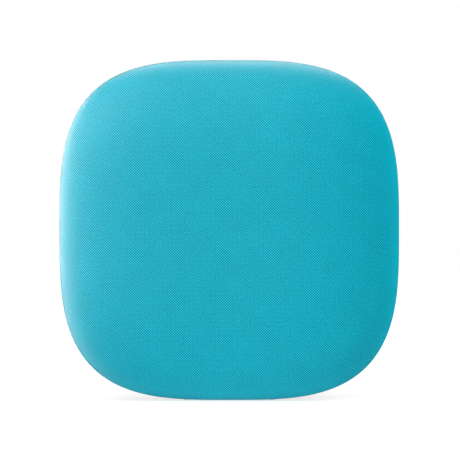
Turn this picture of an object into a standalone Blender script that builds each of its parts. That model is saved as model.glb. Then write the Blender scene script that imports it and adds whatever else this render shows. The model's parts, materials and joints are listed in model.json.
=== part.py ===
"""A portable Bluetooth speaker: a rounded-square, cloth-fronted box that stands on a rubber foot.

The front faces -Y and +Z is up. The origin is under the middle of the speaker, on the surface that
the foot stands on. Sizes are written in millimetres, and each mesh is scaled to metres as it is made.
Most pieces are turned about the speaker's own axis, which runs along Y through the middle of the box:
a turned ring is either round or a squircle, the rounded square that the whole case follows.
"""

import math

import bmesh
import bpy
from mathutils import Matrix, Vector

MM = 0.001

# Driving dimensions, in millimetres.
HALF_WIDTH = 63.0  # of the cloth at its widest, which is also half of the height
SQUARENESS = 3.24  # the superellipse exponent of the case's outline
GROUND_GAP = 0.3  # the cloth's lowest line stays just clear of the surface
CENTRE_Z = HALF_WIDTH + GROUND_GAP
SEAM_Y = -6.0  # the widest section, where the cloth meets the band
FRONT_DEPTH = 22.0  # how far the cloth bulges forward of the seam
REAR_Y = 28.0  # the flat back
CLOTH = 0.9
GRILLE_WALL = 2.0
GAP = 0.3  # between pieces that touch
CASE_HALF_WIDTH = 62.2  # of the band and the rear shell
CASE_WALL = 3.0
BAND_FRONT_Y = -5.7
BAND_REAR_Y = 15.0
SHELL_FRONT_Y = 16.2
REAR_WALL = 2.4

# How finely round shapes are divided.
CASE_STEPS = 40
ROUND_STEPS = 24
SMALL_STEPS = 14
DOME_ANGLES = (6, 15, 27, 41, 56, 72, 90)  # degrees, closer together where the dome turns fastest
DOME_POWER = 3.0

# The five keys on top of the band, by their place along X.
KEYS = {"power": -28.0, "volume_down": -14.0, "play": 0.0, "volume_up": 14.0, "bluetooth": 28.0}
KEY_Y = (BAND_FRONT_Y + BAND_REAR_Y) / 2
KEY_RADIUS = 4.6
KEY_STAND = 0.6  # proud of the band
SWITCH_DEPTH = 11.2  # from the band's surface down to the underside of each switch

SCREW_OFFSET = 41.5  # the case screws, sideways and up or down from the axis
DRIVER_SCREW_CIRCLE = 28.8
RADIATOR_OPENING = 27.3

BOARD_TOP = 17.6  # the height of the main board's upper face
USB_X, AUX_X = -12.0, 12.0
CELL_X, CELL_Y, CELL_RADIUS, CELL_LENGTH = 37.0, 12.0, 9.2, 65.0


# Materials


def material(name, colour, roughness, metallic=0.0):
    made = bpy.data.materials.get(name)
    if made is None:
        made = bpy.data.materials.new(name)
        made.use_nodes = True
        shader = made.node_tree.nodes["Principled BSDF"]
        shader.inputs["Base Color"].default_value = (*colour, 1.0)
        shader.inputs["Roughness"].default_value = roughness
        shader.inputs["Metallic"].default_value = metallic
    return made


def cloth():
    return material("turquoise_cloth", (0.023, 0.402, 0.533), 0.9)


def case_plastic():
    return material("graphite_plastic", (0.045, 0.05, 0.055), 0.5)


def black_plastic():
    return material("black_plastic", (0.02, 0.02, 0.022), 0.55)


def rubber():
    return material("black_rubber", (0.025, 0.025, 0.027), 0.8)


def aluminium():
    return material("satin_aluminium", (0.55, 0.56, 0.58), 0.35, 1.0)


def steel():
    return material("zinc_steel", (0.55, 0.55, 0.56), 0.3, 1.0)


def ferrite():
    return material("ferrite", (0.05, 0.05, 0.055), 0.45, 0.4)


def copper():
    return material("copper_wire", (0.72, 0.33, 0.18), 0.35, 1.0)


def paper_cone():
    return material("cone_paper", (0.06, 0.06, 0.065), 0.85)


def spider_cloth():
    return material("spider_cloth", (0.55, 0.38, 0.16), 0.9)


def circuit_board():
    return material("circuit_board", (0.01, 0.12, 0.06), 0.45)


def foam():
    return material("grey_foam", (0.2, 0.2, 0.21), 0.95)


def cell_sleeve():
    return material("cell_sleeve", (0.03, 0.2, 0.5), 0.4)


def clear_plastic():
    return material("clear_plastic", (0.85, 0.87, 0.88), 0.15)


# Shapes


def squircle(radius, turn, power):
    """The point at this turn on a squircle; a power of 2 makes it a circle."""
    across, up = math.cos(turn), math.sin(turn)
    return (
        radius * math.copysign(abs(across) ** (2 / power), across),
        radius * math.copysign(abs(up) ** (2 / power), up),
    )


def add(name, mesh, paint, place=None):
    """A new object for a bmesh in millimetres, smooth except along its sharp edges."""
    bmesh.ops.recalc_face_normals(mesh, faces=mesh.faces)
    bmesh.ops.scale(mesh, vec=(MM, MM, MM), verts=mesh.verts)
    data = bpy.data.meshes.new(name)
    mesh.to_mesh(data)
    mesh.free()
    data.shade_smooth()
    data.set_sharp_from_angle(angle=math.radians(35))
    made = bpy.data.objects.new(name, data)
    made.matrix_world = place or Matrix.Identity(4)
    if paint is not None:
        data.materials.append(paint)
    bpy.context.scene.collection.objects.link(made)
    return made


def at(x, y, z, turned=None):
    """Where an object stands, given in millimetres, and how it is turned."""
    return Matrix.Translation(Vector((x, y, z)) * MM) @ (turned or Matrix.Identity(4))


def axis_place():
    """The middle of the case, on the speaker's own axis."""
    return at(0, 0, CENTRE_Z)


def ring_of(mesh, radius, along, power, steps):
    """The points of one ring about the Y axis, or its single point where it lies on the axis."""
    if radius == 0:
        return [mesh.verts.new((0, along, 0))]
    ring = []
    for step in range(steps):
        x, z = squircle(radius, math.tau * step / steps, power)
        ring.append(mesh.verts.new((x, along, z)))
    return ring


def bridge(mesh, first, second):
    steps = max(len(first), len(second))
    for step in range(steps):
        corners = [
            first[step % len(first)],
            first[(step + 1) % len(first)],
            second[(step + 1) % len(second)],
            second[step % len(second)],
        ]
        mesh.faces.new(list(dict.fromkeys(corners)))


def turned_mesh(profile, steps, power=2.0):
    """A body turned about Y. Each profile point is (radius, y), or (radius, y, its own power)."""
    mesh = bmesh.new()
    rings = [
        ring_of(mesh, point[0], point[1], point[2] if len(point) > 2 else power, steps)
        for point in profile
    ]
    pairs = list(zip(rings, rings[1:]))
    if len(rings[0]) > 1:
        pairs.append((rings[-1], rings[0]))
    for first, second in pairs:
        bridge(mesh, first, second)
    return mesh


def turned(name, profile, paint, steps=ROUND_STEPS, place=None, power=2.0):
    return add(name, turned_mesh(profile, steps, power), paint, place or axis_place())


def case_turned(name, profile, paint):
    return turned(name, profile, paint, CASE_STEPS, power=SQUARENESS)


def merged(meshes):
    """Several closed shapes in one mesh, for a cutter that cuts in many places."""
    whole = bmesh.new()
    for mesh in meshes:
        data = bpy.data.meshes.new("shape")
        mesh.to_mesh(data)
        mesh.free()
        whole.from_mesh(data)
        bpy.data.meshes.remove(data)
    return whole


def moved(mesh, place):
    """The shape moved by a matrix in millimetres."""
    bmesh.ops.transform(mesh, matrix=place, verts=mesh.verts)
    return mesh


def box_mesh(low, high):
    mesh = bmesh.new()
    bmesh.ops.create_cube(mesh, size=1.0)
    size = Vector(high) - Vector(low)
    bmesh.ops.scale(mesh, vec=size, verts=mesh.verts)
    bmesh.ops.translate(mesh, vec=(Vector(low) + Vector(high)) / 2, verts=mesh.verts)
    return mesh


def box(name, low, high, paint, bevel=0.0):
    made = add(name, box_mesh(low, high), paint)
    if bevel:
        edge = made.modifiers.new("edge", "BEVEL")
        edge.width = bevel * MM
        edge.segments = 1
    return made


def prism_mesh(outline, near, far):
    """An outline of (x, z) points carried along Y from near to far."""
    mesh = bmesh.new()
    face = mesh.faces.new([mesh.verts.new((x, near, z)) for x, z in outline])
    grown = bmesh.ops.extrude_face_region(mesh, geom=[face])
    corners = [item for item in grown["geom"] if isinstance(item, bmesh.types.BMVert)]
    bmesh.ops.translate(mesh, vec=(0, far - near, 0), verts=corners)
    return mesh


def slot_outline(x, z, width, height, steps=4):
    """A slot with round ends, about its middle."""
    radius, reach = height / 2, (width - height) / 2
    points = []
    for side in (1, -1):
        for step in range(steps + 1):
            turn = math.pi * (step / steps - 0.5)
            points.append(
                (x + side * (reach + radius * math.cos(turn)), z + side * radius * math.sin(turn))
            )
    return points


def helper(mesh, place):
    """A shape that only adds to or cuts another one."""
    made = add("helper", mesh, None, place)
    made.hide_render = True
    made.display_type = "WIRE"
    return made


def combine(target, mesh, operation, place=None):
    change = target.modifiers.new(operation.lower(), "BOOLEAN")
    change.operation = operation
    change.object = helper(mesh, place)


def cut(target, mesh, place=None):
    combine(target, mesh, "DIFFERENCE", place)


def join(target, mesh, place=None):
    combine(target, mesh, "UNION", place)


def corners(offset):
    """The four places at this offset sideways and upwards from the axis."""
    return [(x, z) for x in (-offset, offset) for z in (-offset, offset)]


def on_case(depth_from_surface, x):
    """A point under the band's top surface at this place along X, and the way out of the band there."""
    up = CASE_HALF_WIDTH * (1 - abs(x / CASE_HALF_WIDTH) ** SQUARENESS) ** (1 / SQUARENESS)
    slope = abs(x / up) ** (SQUARENESS - 1)
    outward = Vector((math.copysign(slope, x), 0, 1)).normalized()
    surface = Vector((x, KEY_Y, CENTRE_Z + up))
    return surface - outward * depth_from_surface, outward


# The cloth front and what it is stretched over


def dome(radius, depth):
    """The points of the bulging front, from its edge to its middle."""
    points = []
    for angle in DOME_ANGLES:
        turn = math.radians(angle)
        reach = 0.0 if angle == 90 else radius * math.cos(turn) ** (2 / DOME_POWER)
        points.append((reach, SEAM_Y - depth * math.sin(turn) ** (2 / DOME_POWER)))
    return points


def front_shell_profile(inset, wall, start_y, hem=None):
    """The outer dome, then back along the inner one. A hem turns in behind the edge."""
    outer = dome(HALF_WIDTH - inset, FRONT_DEPTH - inset)
    inner = dome(HALF_WIDTH - inset - wall, FRONT_DEPTH - inset - wall)
    edge = [(HALF_WIDTH - inset, start_y)]
    if hem is not None:
        edge = [(hem, start_y - wall), (hem, start_y)] + edge
        start_y -= wall
    return inner[::-1] + [(HALF_WIDTH - inset - wall, start_y)] + edge + outer


def build_front():
    case_turned("front_fabric", front_shell_profile(0.0, CLOTH, SEAM_Y, hem=57.0), cloth())
    inset = CLOTH + GAP
    grille = case_turned(
        "grille_shell",
        front_shell_profile(inset, GRILLE_WALL, SEAM_Y - CLOTH - GAP),
        black_plastic(),
    )
    cut(grille, sound_holes(), axis_place())


def sound_holes(pitch=8.4, radius=2.8, rings=3):
    """Six-sided holes in a honeycomb, in front of the driver."""
    holes = []
    for along in range(-rings, rings + 1):
        for across in range(-rings, rings + 1):
            if abs(along + across) > rings:
                continue
            x = pitch * (along + across / 2)
            z = pitch * across * math.sqrt(0.75)
            outline = [
                (x + radius * math.cos(math.tau * side / 6), z + radius * math.sin(math.tau * side / 6))
                for side in range(6)
            ]
            holes.append(prism_mesh(outline, -REAR_Y - 2, -REAR_Y / 2))
    return merged(holes)


# The case


def build_band():
    """The metal band between the cloth and the rear shell, with the keys' holes and the screw lugs."""
    outer, inner, edge = CASE_HALF_WIDTH, CASE_HALF_WIDTH - CASE_WALL, 0.6
    ledge, ledge_back = 54.8, BAND_FRONT_Y + 2.0
    band = case_turned(
        "mid_frame",
        [
            (ledge, BAND_FRONT_Y),
            (outer - edge, BAND_FRONT_Y),
            (outer, BAND_FRONT_Y + edge),
            (outer, BAND_REAR_Y - edge),
            (outer - edge, BAND_REAR_Y),
            (inner, BAND_REAR_Y),
            (inner, ledge_back),
            (ledge, ledge_back),
        ],
        aluminium(),
    )
    lug_front, lug_back, lug_half_width = -3.2, 5.0, 4.5
    near, far = 54.3, 69.0
    lugs, threads = [], []
    for x, z in corners(SCREW_OFFSET):
        turn = math.atan2(z, x)
        lug = box_mesh((near, lug_front, -lug_half_width), (far, lug_back, lug_half_width))
        lugs.append(moved(lug, Matrix.Rotation(-turn, 4, "Y")))
        threads.append(moved(cylinder_mesh(1.6, -1.2, lug_back + 1), Matrix.Translation((x, 0, z))))
    join(band, merged(lugs), axis_place())
    cut(band, merged(threads), axis_place())
    holes = []
    for x in KEYS.values():
        place, outward = on_case(0, x)
        turned_up = Vector((0, 1, 0)).rotation_difference(outward).to_matrix().to_4x4()
        hole = cylinder_mesh(KEY_RADIUS + GAP, -CASE_WALL - 2, 3)
        holes.append(moved(hole, Matrix.Translation(place) @ turned_up))
    cut(band, merged(holes))


def cylinder_mesh(radius, near, far, steps=SMALL_STEPS):
    return turned_mesh([(0, near), (radius, near), (radius, far), (0, far)], steps)


def build_rear_shell():
    outer, inner = CASE_HALF_WIDTH, CASE_HALF_WIDTH - CASE_WALL
    shell = case_turned(
        "rear_shell",
        [
            (inner, SHELL_FRONT_Y),
            (outer - 0.6, SHELL_FRONT_Y),
            (outer, SHELL_FRONT_Y + 0.6),
            (outer - 0.2, 18.5),
            (outer - 1.2, 21.2),
            (outer - 3.4, 24.0),
            (outer - 7.0, 26.3),
            (outer - 11.7, 27.6),
            (outer - 16.2, REAR_Y),
            (RADIATOR_OPENING, REAR_Y, 2.0),
            (RADIATOR_OPENING, REAR_Y - REAR_WALL, 2.0),
            (outer - 16.7, REAR_Y - REAR_WALL),
            (outer - 12.4, 25.1),
            (outer - 8.8, 23.7),
            (outer - 5.8, 21.6),
            (outer - 3.7, 18.9),
        ],
        case_plastic(),
    )
    boss_front, boss_back, boss_radius = 5.3, 25.8, 4.4
    head_seat, head_radius, shank_radius = 22.4, 3.1, 1.6
    bosses, cuts = [], []
    for x, z in corners(SCREW_OFFSET):
        place = Matrix.Translation((x, 0, z))
        bosses.append(moved(cylinder_mesh(boss_radius, boss_front, boss_back), place))
        stepped = [
            (0, boss_front - 1),
            (shank_radius, boss_front - 1),
            (shank_radius, head_seat),
            (head_radius, head_seat),
            (head_radius, REAR_Y + 2),
            (0, REAR_Y + 2),
        ]
        cuts.append(moved(turned_mesh(stepped, SMALL_STEPS), place))
    join(shell, merged(bosses), axis_place())
    cut(shell, merged(cuts), axis_place())
    near, far = REAR_Y - REAR_WALL - 1, REAR_Y + 1
    ports = [
        prism_mesh(slot_outline(USB_X, BOARD_TOP + 2.0, 9.6, 3.9), near, far),
        moved(cylinder_mesh(3.3, near, far), Matrix.Translation((AUX_X, 0, BOARD_TOP + 3.3))),
        moved(cylinder_mesh(1.5, near, far), Matrix.Translation((0, 0, BOARD_TOP + 3.0))),
    ]
    cut(shell, merged(ports))


def ring_profile(inner, outer, near, far):
    return [(inner, near), (outer, near), (outer, far), (inner, far)]


def build_seals():
    case_turned("baffle_gasket", ring_profile(55.2, 56.4, SEAM_Y - 0.9, SEAM_Y), foam())
    near, far = BAND_REAR_Y + GAP, SHELL_FRONT_Y - GAP
    case_turned("rear_gasket", ring_profile(59.5, 61.5, near, far), rubber())


def build_foot():
    """Flat below, and hollowed above to the curve of the band that it is stuck to."""
    half_length, steps, radius = 17.0, 8, CASE_HALF_WIDTH + GAP
    outline = [(-half_length, 0.0), (half_length, 0.0)]
    for step in range(steps + 1):
        x = half_length * (1 - 2 * step / steps)
        up = radius * (1 - abs(x / radius) ** SQUARENESS) ** (1 / SQUARENESS)
        outline.append((x, CENTRE_Z - up))
    add("rubber_foot", prism_mesh(outline, BAND_FRONT_Y + 0.5, BAND_REAR_Y - 0.5), rubber())


def build_baffle():
    """The plate that carries the driver, dished forward into the grille."""
    hole, front, back = 24.9, -15.4, -13.2
    rim_front, rim_back = -9.4, -7.2
    baffle = case_turned(
        "baffle",
        [
            (hole, back, 2.0),
            (hole, front, 2.0),
            (47.5, front),
            (52.0, rim_front),
            (56.4, rim_front),
            (56.4, rim_back),
            (50.6, rim_back),
            (46.3, back),
        ],
        black_plastic(),
    )
    offset = DRIVER_SCREW_CIRCLE / math.sqrt(2)
    holes = [
        moved(cylinder_mesh(1.5, front - 1, back + 1, 12), Matrix.Translation((x, 0, z)))
        for x, z in corners(offset)
    ]
    cut(baffle, merged(holes), axis_place())


# The keys


def build_keys():
    for key, x in KEYS.items():
        place, outward = on_case(0, x)
        turned_up = Vector((0, 1, 0)).rotation_difference(outward).to_matrix().to_4x4()
        here = at(*place, turned_up)
        turned(
            f"button_{key}",
            [
                (0, KEY_STAND),
                (KEY_RADIUS - 0.5, KEY_STAND - 0.1),
                (KEY_RADIUS, KEY_STAND - 0.6),
                (KEY_RADIUS, -4.0),
                (KEY_RADIUS + 1.2, -4.0),
                (KEY_RADIUS + 1.2, -4.9),
                (1.5, -4.9),
                (1.5, -6.6),
                (0, -6.6),
            ],
            case_plastic(),
            SMALL_STEPS,
            here,
        )
        build_switch(key, here)


def build_switch(key, here):
    """A square tactile switch with its square plunger, under one key."""
    half, bottom, top, plunger = 3.0, -SWITCH_DEPTH, -7.9, 0.4
    mesh = box_mesh((-half, bottom, -half), (half, top, half))
    mesh.faces.ensure_lookup_table()
    lid = max(mesh.faces, key=lambda face: face.calc_center_median().y)
    bmesh.ops.inset_region(mesh, faces=[lid], thickness=half / 2)
    grown = bmesh.ops.extrude_face_region(mesh, geom=[lid])
    raised = [item for item in grown["geom"] if isinstance(item, bmesh.types.BMVert)]
    bmesh.ops.translate(mesh, vec=(0, plunger, 0), verts=raised)
    bmesh.ops.delete(mesh, geom=[lid], context="FACES_ONLY")
    add(f"switch_{key}", mesh, black_plastic(), here)


def build_key_board():
    """A strip that follows the band under the switches."""
    reach, steps = 35.0, 12
    outline = []
    for depth, way in ((SWITCH_DEPTH + GAP, 1), (SWITCH_DEPTH + GAP + 1.0, -1)):
        for step in range(steps + 1):
            x = way * reach * (2 * step / steps - 1)
            point, _ = on_case(depth, x)
            outline.append((point.x, point.z))
    add("key_board", prism_mesh(outline, KEY_Y - 5, KEY_Y + 5), circuit_board())


# The driver


def roll_profile(inner, outer, land, base, height, thickness, steps=6):
    """A half-round roll between two flat lands: a surround, seen in section."""
    middle, half = (inner + outer) / 2, (outer - inner) / 2
    thick = math.copysign(thickness, height)

    def arc(shrink, lift):
        points = []
        for step in range(steps + 1):
            turn = math.pi * step / steps
            reach = (half - shrink) * math.cos(turn)
            points.append((middle + reach, base + lift + (height - thick) * math.sin(turn)))
        return points

    return (
        [(outer + land, base), (outer + land, base + thick)]
        + arc(0, thick)
        + [(inner - land, base + thick), (inner - land, base)]
        + arc(thickness, 0)[::-1]
    )


def corrugated_profile(inner, outer, base, height, thickness, waves):
    """Sharp folds between two flat lands: a spider, seen in section."""
    folds = [(inner, base)]
    fold_start, fold_end = inner + 1.0, outer - 1.8
    for fold in range(2 * waves + 1):
        rise = height if fold % 2 else 0.0
        folds.append((fold_start + (fold_end - fold_start) * fold / (2 * waves), base + rise))
    folds.append((outer, base))
    return folds + [(x, y - thickness) for x, y in folds[::-1]]


def build_driver_motor():
    turned("driver_top_plate", ring_profile(10.9, 18.0, -2.1, 0.9), steel())
    turned("driver_magnet", ring_profile(12.5, 20.0, 1.2, 7.2), ferrite())
    pole, plate = 9.2, 18.0
    turned(
        "driver_yoke",
        [(0, -2.1), (pole, -2.1), (pole, 7.5), (plate, 7.5), (plate, 10.5), (0, 10.5)],
        steel(),
    )


def build_driver_basket():
    flange, front, back = 31.0, -17.8, -16.6
    basket = turned(
        "driver_basket",
        [
            (24.3, front),
            (flange, front),
            (flange, back),
            (24.6, back),
            (22.0, -7.5),
            (21.4, -5.2),
            (18.6, -2.4),
            (11.2, -2.4),
            (11.2, -3.4),
            (17.0, -3.4),
            (17.8, -6.0),
            (20.4, -6.0),
            (21.0, -7.5),
            (23.6, back),
        ],
        black_plastic(),
    )
    windows = []
    for side in range(6):
        window = box_mesh((19.5, -14.8, -6.0), (27.0, -8.4, 6.0))
        windows.append(moved(window, Matrix.Rotation(math.tau * (side + 0.5) / 6, 4, "Y")))
    cut(basket, merged(windows), axis_place())
    offset = DRIVER_SCREW_CIRCLE / math.sqrt(2)
    holes = [
        moved(cylinder_mesh(1.5, front - 1, back + 1, 12), Matrix.Translation((x, 0, z)))
        for x, z in corners(offset)
    ]
    cut(basket, merged(holes), axis_place())
    turned("driver_gasket", ring_profile(25.2, 27.1, -16.3, -15.7), foam())
    box("driver_terminal", (-4.5, -13.0, 38.2), (4.5, -7.4, 39.4), circuit_board())


def build_driver_cone():
    """The moving parts of the driver, and the two soft rings that they hang in."""
    turned(
        "driver_cone",
        [(20.1, -17.8), (18.7, -17.8), (10.9, -10.3), (10.9, -9.4), (18.9, -17.1), (20.1, -17.2)],
        paper_cone(),
    )
    turned(
        "dust_cap",
        [(0, -14.2), (5.6, -13.4), (10.3, -11.8), (10.3, -11.3), (5.5, -12.9), (0, -13.7)],
        paper_cone(),
        20,
    )
    turned(
        "voice_coil",
        [(9.5, -11.0), (10.1, -11.0), (10.1, -3.2), (10.6, -3.2), (10.6, 2.0), (9.5, 2.0)],
        copper(),
    )
    turned("driver_surround", roll_profile(20.2, 24.8, 1.2, -18.1, -2.3, 0.5), rubber())
    turned("driver_spider", corrugated_profile(10.4, 20.0, -6.4, -0.9, 0.4, 3), spider_cloth())


# The passive radiator in the back


def build_radiator():
    turned(
        "radiator_frame",
        [
            (21.9, 23.2),
            (30.0, 23.2),
            (30.0, REAR_Y - REAR_WALL - GAP),
            (RADIATOR_OPENING - GAP, REAR_Y - REAR_WALL - GAP),
            (RADIATOR_OPENING - GAP, REAR_Y - 0.1),
            (24.2, REAR_Y - 0.1),
            (23.7, REAR_Y - 0.6),
            (23.7, 24.6),
            (21.9, 24.6),
        ],
        black_plastic(),
    )
    turned("radiator_surround", roll_profile(16.8, 22.2, 1.2, 24.9, 2.2, 0.5), rubber())
    turned(
        "radiator_plate",
        [
            (0, 25.7),
            (14.7, 25.7),
            (15.3, 25.3),
            (15.3, 24.6),
            (16.7, 24.6),
            (16.7, 23.4),
            (9.0, 23.4),
            (9.0, 20.6),
            (0, 20.6),
        ],
        aluminium(),
    )


# The electronics


def build_board():
    tray_half, board_half, front, back = 35.2, 33.0, -2.0, 23.8
    board_bottom = BOARD_TOP - 1.6
    base_top = board_bottom - GAP
    rib, rib_half, rib_foot = 20.0, 1.0, 5.1
    outline = [(-tray_half, base_top - 1.6)]
    for x in (-rib, rib):
        outline += [
            (x - rib_half, base_top - 1.6),
            (x - rib_half, rib_foot),
            (x + rib_half, rib_foot),
            (x + rib_half, base_top - 1.6),
        ]
    lip = board_half + GAP
    outline += [
        (tray_half, base_top - 1.6),
        (tray_half, BOARD_TOP),
        (lip, BOARD_TOP),
        (lip, base_top),
        (-lip, base_top),
        (-lip, BOARD_TOP),
        (-tray_half, BOARD_TOP),
    ]
    add("board_tray", prism_mesh(outline, front, 15.5), black_plastic())
    box("main_board", (-board_half, front, board_bottom), (board_half, back, BOARD_TOP), circuit_board())
    seat = BOARD_TOP + GAP
    box("bluetooth_module", (-26.5, 0.0, seat), (-13.5, 16.0, seat + 2.6), steel(), 0.3)
    box("amplifier_chip", (-2.5, 2.0, seat), (6.5, 11.0, seat + 1.4), black_plastic())
    standing = Matrix.Rotation(math.radians(90), 4, "X")
    turned(
        "power_inductor",
        [(0, 0), (4.2, 0), (4.2, 4.0), (0, 4.0)],
        ferrite(),
        SMALL_STEPS,
        at(14.0, 6.0, seat, standing),
    )
    turned(
        "reservoir_capacitor",
        [(0, 0), (4.0, 0), (4.0, 9.0), (3.6, 9.4), (0, 9.4)],
        aluminium(),
        SMALL_STEPS,
        at(25.0, 8.0, seat, standing),
    )
    turned(
        "status_light_pipe",
        [(0, 19.5), (1.2, 19.5), (1.2, REAR_Y - 0.1), (0, REAR_Y - 0.1)],
        clear_plastic(),
        12,
        at(0, 0, BOARD_TOP + 3.0),
    )


def build_ports():
    middle, near, far = BOARD_TOP + 2.0, 19.0, REAR_Y - 0.5
    socket = add(
        "usb_c_socket", prism_mesh(slot_outline(USB_X, middle, 9.0, 3.3), near, far), steel()
    )
    cut(socket, prism_mesh(slot_outline(USB_X, middle, 8.4, 2.7), near + 1.2, far + 1))
    join(socket, box_mesh((USB_X - 3.3, near + 0.5, middle - 0.35), (USB_X + 3.3, far - 1.2, middle + 0.35)))
    middle = BOARD_TOP + 3.3
    jack = box("aux_jack", (AUX_X - 5, 13.0, middle - 3), (AUX_X + 5, 24.6, middle + 3), black_plastic())
    nose = Matrix.Translation((AUX_X, 0, middle))
    join(jack, moved(cylinder_mesh(2.9, 24.0, REAR_Y - 0.5), nose))
    cut(jack, moved(cylinder_mesh(1.8, 14.5, REAR_Y + 1, 12), nose))


def build_battery():
    """Two upright cells, each in a cradle that wraps round its outer side."""
    upright = Matrix.Rotation(math.radians(90), 4, "X")
    foot = CENTRE_Z - CELL_LENGTH / 2
    for side, name in ((-1, "left"), (1, "right")):
        x = side * CELL_X
        turned(
            f"battery_cell_{name}",
            [
                (0, 0),
                (CELL_RADIUS - 0.6, 0),
                (CELL_RADIUS, 0.6),
                (CELL_RADIUS, CELL_LENGTH - 1.6),
                (CELL_RADIUS - 0.8, CELL_LENGTH - 1),
                (3.0, CELL_LENGTH - 1),
                (3.0, CELL_LENGTH),
                (0, CELL_LENGTH),
            ],
            cell_sleeve(),
            20,
            at(x, CELL_Y, foot, upright),
        )
        outline, steps, inner = [], 10, CELL_RADIUS + GAP
        for radius, way in ((inner, 1), (inner + 1.6, -1)):
            for step in range(steps + 1):
                turn = way * math.pi * (step / steps - 0.5)
                outline.append((side * radius * math.cos(turn), radius * math.sin(turn)))
        cradle = prism_mesh(outline, 6.0, CELL_LENGTH - 6.0)
        add(f"battery_cradle_{name}", cradle, black_plastic(), at(x, CELL_Y, foot, upright))


def lead(name, route, diameter, paint, steps=4):
    """A wire through these points, on a smooth curve read every few diameters."""
    points = [Vector(point) for point in route]
    padded = [2 * points[0] - points[1]] + points + [2 * points[-1] - points[-2]]
    smooth = []
    for before, start, end, after in zip(padded, padded[1:], padded[2:], padded[3:]):
        for step in range(steps):
            t = step / steps
            smooth.append(
                0.5
                * (
                    2 * start
                    + (end - before) * t
                    + (2 * before - 5 * start + 4 * end - after) * t**2
                    + (3 * start - before - 3 * end + after) * t**3
                )
            )
    smooth.append(points[-1])
    curve = bpy.data.curves.new(name, "CURVE")
    curve.dimensions = "3D"
    curve.bevel_depth = diameter / 2 * MM
    curve.bevel_resolution = 1
    curve.use_fill_caps = True
    spline = curve.splines.new("POLY")
    spline.points.add(len(smooth) - 1)
    for point, place in zip(spline.points, smooth):
        point.co = (*(place * MM), 1.0)
    curve.materials.append(paint)
    bpy.context.scene.collection.objects.link(bpy.data.objects.new(name, curve))


def build_leads():
    board = BOARD_TOP + 0.6 + GAP
    lead(
        "speaker_lead",
        [(0, -10.2, 37.6), (1, -10.0, 33.0), (4.5, -6.5, 27.0), (7.6, -1.5, 22.5), (8.2, -0.3, board)],
        1.8,
        rubber(),
    )
    for side, name in ((-1, "left"), (1, "right")):
        route = [(35, 12, 29.9), (34.6, 12.3, 27), (32, 14.5, 23), (30.2, 17, 20.6), (30, 17.6, board)]
        lead(f"battery_lead_{name}", [(side * x, y, z) for x, y, z in route], 1.6, rubber())
    lead(
        "key_lead",
        [
            (22, 5.0, 111.6),
            (23.2, 2.6, 105),
            (24.4, 0.2, 90),
            (24.6, -0.4, 64),
            (24.2, -0.4, 40),
            (21.8, -0.3, 25),
            (20.6, -0.2, board),
        ],
        2.0,
        rubber(),
    )


def build_foam():
    box("acoustic_foam", (-19, 2.0, 88), (19, 19.0, 107), foam(), 2.0)


# Fasteners


def screw(name, x, z, seat, head_way, head_radius, head_height, shank_radius, tip):
    """A pan-head screw along Y whose head stands from seat towards head_way."""
    top = seat + head_way * head_height
    turned(
        name,
        [
            (0, top),
            (head_radius * 0.7, top),
            (head_radius, seat + head_way * head_height * 0.6),
            (head_radius, seat),
            (shank_radius, seat),
            (shank_radius, tip),
            (0, tip),
        ],
        steel(),
        8,
        at(x, 0, CENTRE_Z + z),
    )


def build_screws():
    for number, (x, z) in enumerate(corners(SCREW_OFFSET), 1):
        screw(f"case_screw_{number}", x, z, 22.7, 1, 2.7, 2.0, 1.3, 0.5)
    offset = DRIVER_SCREW_CIRCLE / math.sqrt(2)
    for number, (x, z) in enumerate(corners(offset), 1):
        screw(f"driver_screw_{number}", x, z, -18.1, -1, 2.3, 1.1, 1.2, -11.5)


def main():
    for old in list(bpy.data.objects):
        bpy.data.objects.remove(old)
    build_front()
    build_band()
    build_rear_shell()
    build_seals()
    build_foot()
    build_baffle()
    build_keys()
    build_key_board()
    build_driver_motor()
    build_driver_basket()
    build_driver_cone()
    build_radiator()
    build_board()
    build_ports()
    build_battery()
    build_leads()
    build_foam()
    build_screws()


main()
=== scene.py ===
"""The looks of the portable Bluetooth speaker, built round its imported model."""

import json
import math
import re

import bmesh
import bpy
from mathutils import Matrix, Vector

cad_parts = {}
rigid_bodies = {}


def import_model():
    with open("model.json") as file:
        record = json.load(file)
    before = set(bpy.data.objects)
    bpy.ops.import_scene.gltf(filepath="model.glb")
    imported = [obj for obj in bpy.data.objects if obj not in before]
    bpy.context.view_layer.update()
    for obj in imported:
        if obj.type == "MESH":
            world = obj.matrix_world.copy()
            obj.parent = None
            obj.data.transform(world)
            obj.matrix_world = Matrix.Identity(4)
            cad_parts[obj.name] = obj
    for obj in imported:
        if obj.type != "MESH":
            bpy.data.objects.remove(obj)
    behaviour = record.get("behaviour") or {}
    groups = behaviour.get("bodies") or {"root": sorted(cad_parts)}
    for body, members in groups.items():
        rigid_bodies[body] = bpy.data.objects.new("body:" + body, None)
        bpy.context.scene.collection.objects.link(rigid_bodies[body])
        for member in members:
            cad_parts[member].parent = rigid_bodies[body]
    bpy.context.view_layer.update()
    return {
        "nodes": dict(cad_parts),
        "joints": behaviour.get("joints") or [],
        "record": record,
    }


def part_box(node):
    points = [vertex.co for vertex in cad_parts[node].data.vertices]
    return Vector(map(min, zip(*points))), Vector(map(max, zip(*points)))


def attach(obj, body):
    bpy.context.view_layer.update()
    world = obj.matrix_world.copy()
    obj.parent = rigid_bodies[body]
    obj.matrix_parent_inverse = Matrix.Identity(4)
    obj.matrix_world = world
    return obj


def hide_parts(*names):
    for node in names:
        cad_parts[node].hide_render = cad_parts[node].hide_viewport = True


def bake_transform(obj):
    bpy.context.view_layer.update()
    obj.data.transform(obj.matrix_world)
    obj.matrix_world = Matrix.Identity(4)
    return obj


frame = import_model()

MM = 0.001

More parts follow.
